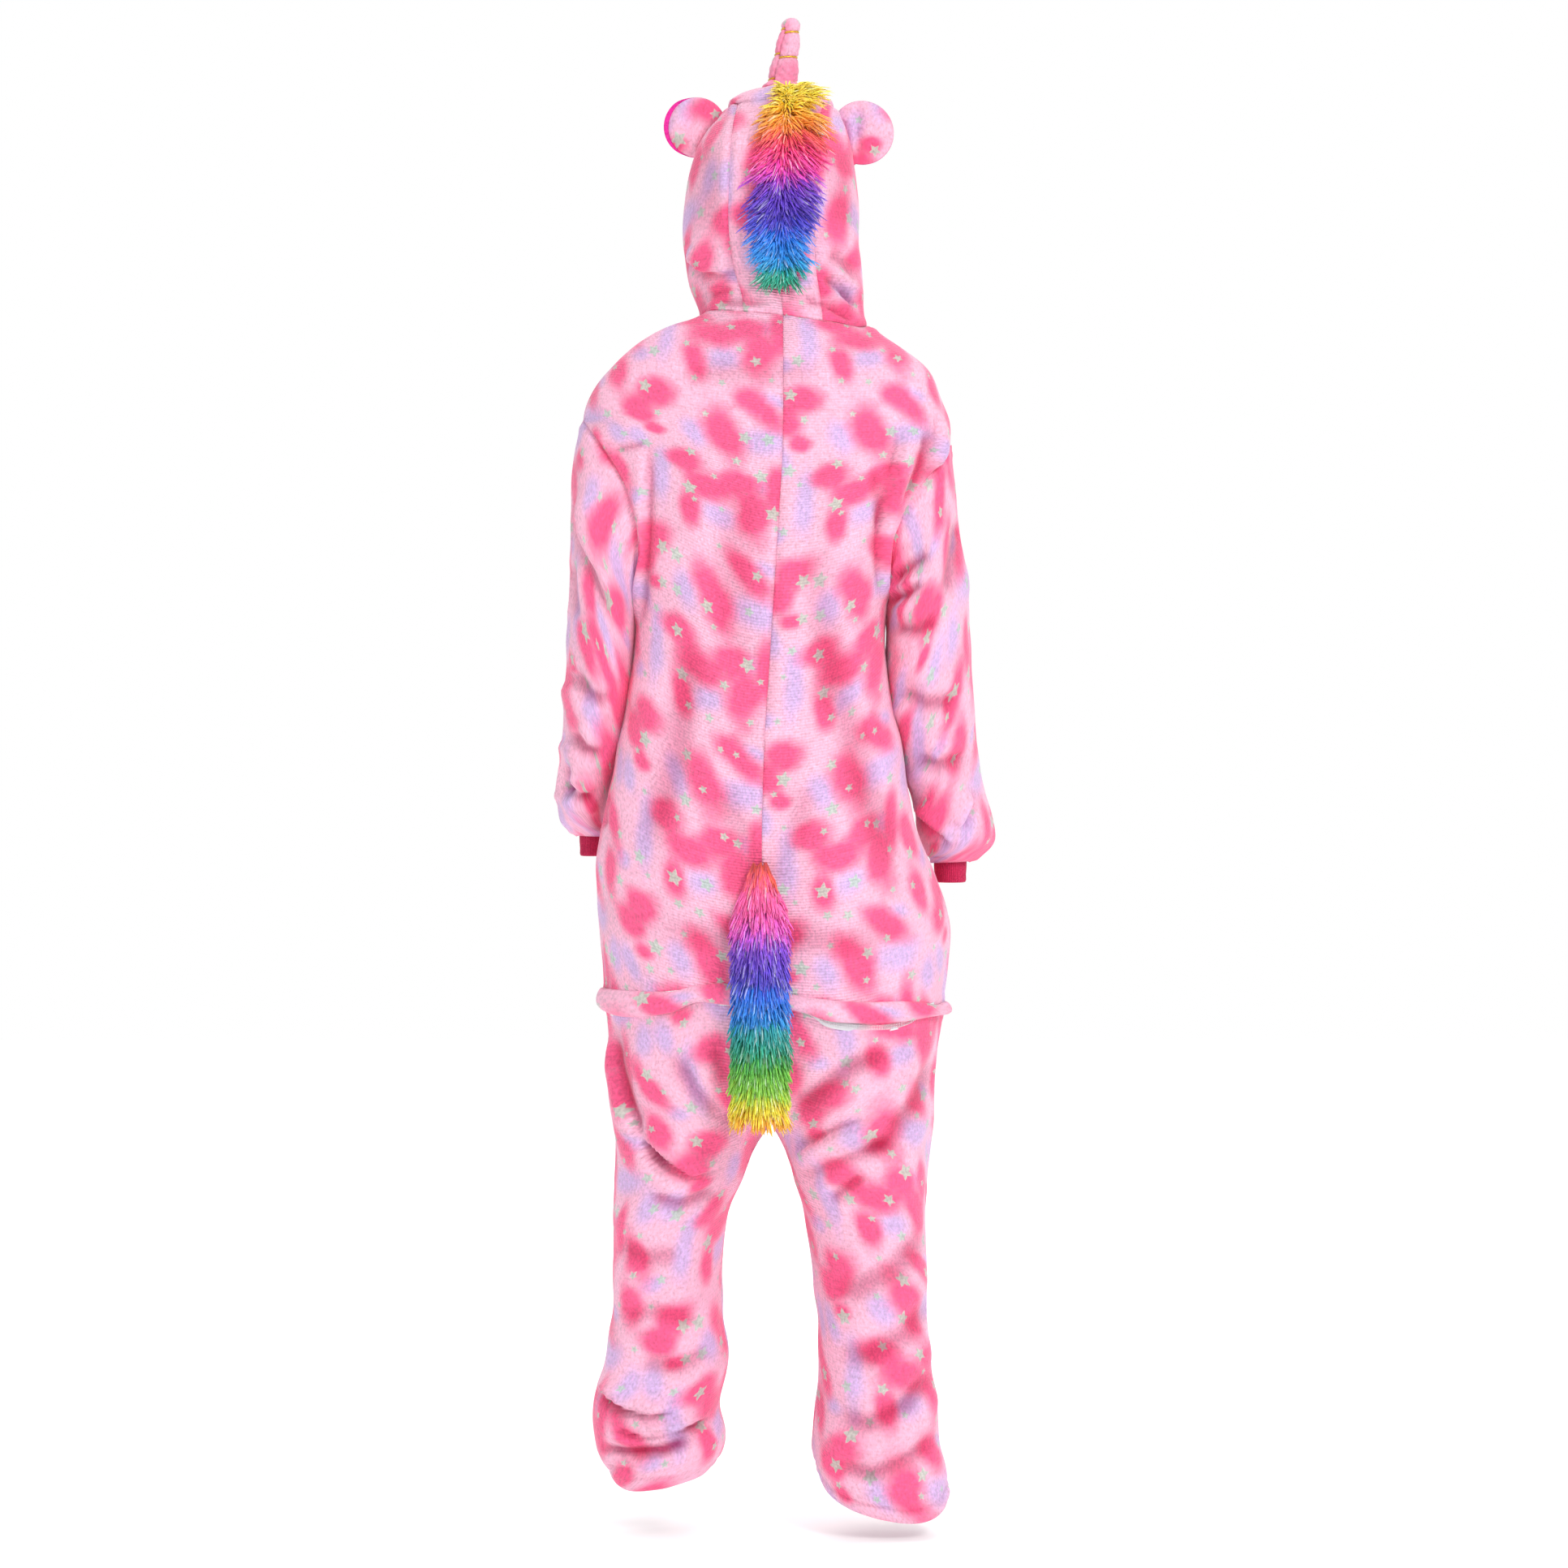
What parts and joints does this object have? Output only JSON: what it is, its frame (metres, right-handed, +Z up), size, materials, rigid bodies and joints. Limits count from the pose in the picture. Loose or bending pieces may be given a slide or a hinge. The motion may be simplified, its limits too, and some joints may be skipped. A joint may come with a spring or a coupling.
{
  "type": "hooded animal onesie garment",
  "caption": "Worn hooded fleece onesie with long sleeves and legs, round ears, a stuffed horn, a tinsel mane and tail and a zipped seat.",
  "frame": {"origin": "middle of the neck opening at shoulder height, where the wearer holds the garment up", "axes": "+Z up along the body, +Y the way the wearer faces, +X to the wearer's right"},
  "size_m": [0.5107, 0.3265, 1.7458],
  "materials": {
    "fleece": "plush",
    "magenta_plush": "plush",
    "cuff_knit": "ribbed knit",
    "horn_plush": "stuffed plush",
    "tinsel_fur": "shiny fur",
    "zip": "woven tape and coil",
    "button": "gloss"
  },
  "bodies": {
    "root": {"back_left_upper": "fleece", "back_left_lower": "fleece", "back_right_upper": "fleece", "back_right_lower": "fleece", "seat_left": "fleece", "leg_back_left": "fleece", "seat_right": "fleece", "leg_back_right": "fleece", "front_left_chest": "fleece", "front_left_waist": "fleece", "front_left_seat": "fleece", "leg_front_left": "fleece", "front_right_chest": "fleece", "front_right_waist": "fleece", "front_right_seat": "fleece", "leg_front_right": "fleece", "hood_left": "fleece", "hood_right": "fleece", "hood_strip_left": "fleece", "hood_strip_right": "fleece", "ear_back_left": "fleece", "ear_back_right": "fleece", "sleeve_left_back": "fleece", "sleeve_left_front": "fleece", "sleeve_right_back": "fleece", "sleeve_right_front": "fleece", "seat_flap": "fleece", "placket": "fleece", "ear_lining_left": "magenta_plush", "ear_lining_right": "magenta_plush", "cuff_left": "cuff_knit", "cuff_right": "cuff_knit", "horn": "horn_plush", "mane": "tinsel_fur", "tail": "tinsel_fur", "seat_zip_tape": "zip", "seat_zip_coil": "zip", "seat_zip_slider": "zip", "button_1": "button", "button_2": "button", "button_3": "button", "button_4": "button", "button_5": "button", "button_6": "button"}
  },
  "joints": []
}
